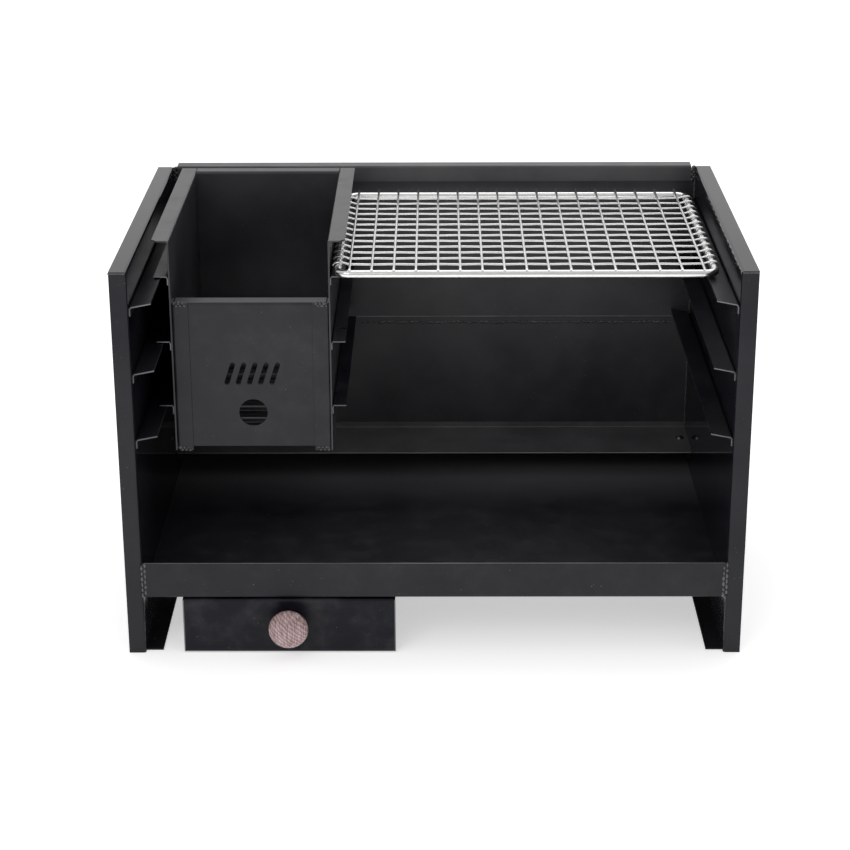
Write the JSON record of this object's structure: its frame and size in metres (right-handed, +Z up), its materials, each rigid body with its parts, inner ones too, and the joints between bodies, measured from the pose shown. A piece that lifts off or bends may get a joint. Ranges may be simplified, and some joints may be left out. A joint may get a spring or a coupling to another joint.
{
  "type": "hibachi grill",
  "caption": "Open-fronted sheet-steel hibachi grill with side ledges, a hanging fire basket, a woven wire grid, a lipped tray and a knobbed ash drawer.",
  "frame": {"origin": "on the ground under the middle of the whole grill, knob and rear angle included", "axes": "+X to the grill's right as seen from the front, -Y out of the open front, +Z up"},
  "size_m": [0.6, 0.4326, 0.3961],
  "materials": {
    "black_coat": "semi-gloss black powder coat",
    "bright_wire": "bright stainless wire, lightly brushed",
    "zinc_fastener": "zinc-plated",
    "turned_wood": "oiled dark reddish hardwood"
  },
  "bodies": {
    "grill_body": {"left_side_panel": "black_coat", "right_side_panel": "black_coat", "back_panel_upper": "black_coat", "back_panel_lower": "black_coat", "back_rail": "black_coat", "fire_tray": "black_coat", "rear_shelf": "black_coat", "shelf_bracket_left": "black_coat", "shelf_bracket_right": "black_coat", "left_ledge_top": "black_coat", "left_ledge_middle": "black_coat", "left_ledge_bottom": "black_coat", "right_ledge_top": "black_coat", "right_ledge_middle": "black_coat", "right_ledge_bottom": "black_coat", "drawer_runner_left": "black_coat", "drawer_runner_right": "black_coat", "shelf_bolts": "zinc_fastener", "shelf_nuts": "zinc_fastener"},
    "ash_drawer": {"drawer_box": "black_coat", "drawer_front": "black_coat", "drawer_knob": "turned_wood", "knob_screw": "zinc_fastener", "knob_washer": "zinc_fastener"},
    "fire_basket": {"firebox_left_wall": "black_coat", "firebox_right_wall": "black_coat", "firebox_back_wall": "black_coat", "firebox_front_panel": "black_coat", "firebox_post_left": "black_coat", "firebox_post_right": "black_coat", "firebox_ledge_left_top": "black_coat", "firebox_ledge_left_middle": "black_coat", "firebox_ledge_left_bottom": "black_coat", "firebox_ledge_right_top": "black_coat", "firebox_ledge_right_middle": "black_coat", "firebox_ledge_right_bottom": "black_coat", "firebox_grate_bars": "black_coat"},
    "cooking_grid": {"grid_frame": "bright_wire", "grid_wires_long": "bright_wire", "grid_wires_cross": "bright_wire"}
  },
  "joints": [
    {"name": "drawer_slide", "type": "slide", "parent": "grill_body", "child": "ash_drawer", "axis": [0, -1, 0], "range_m": [0, 0.24]},
    {"name": "basket_slide", "type": "slide", "parent": "grill_body", "child": "fire_basket", "axis": [0, -1, 0], "range_m": [0, 0.25]},
    {"name": "grid_slide", "type": "slide", "parent": "grill_body", "child": "cooking_grid", "axis": [0, -1, 0], "range_m": [0, 0.25]}
  ]
}
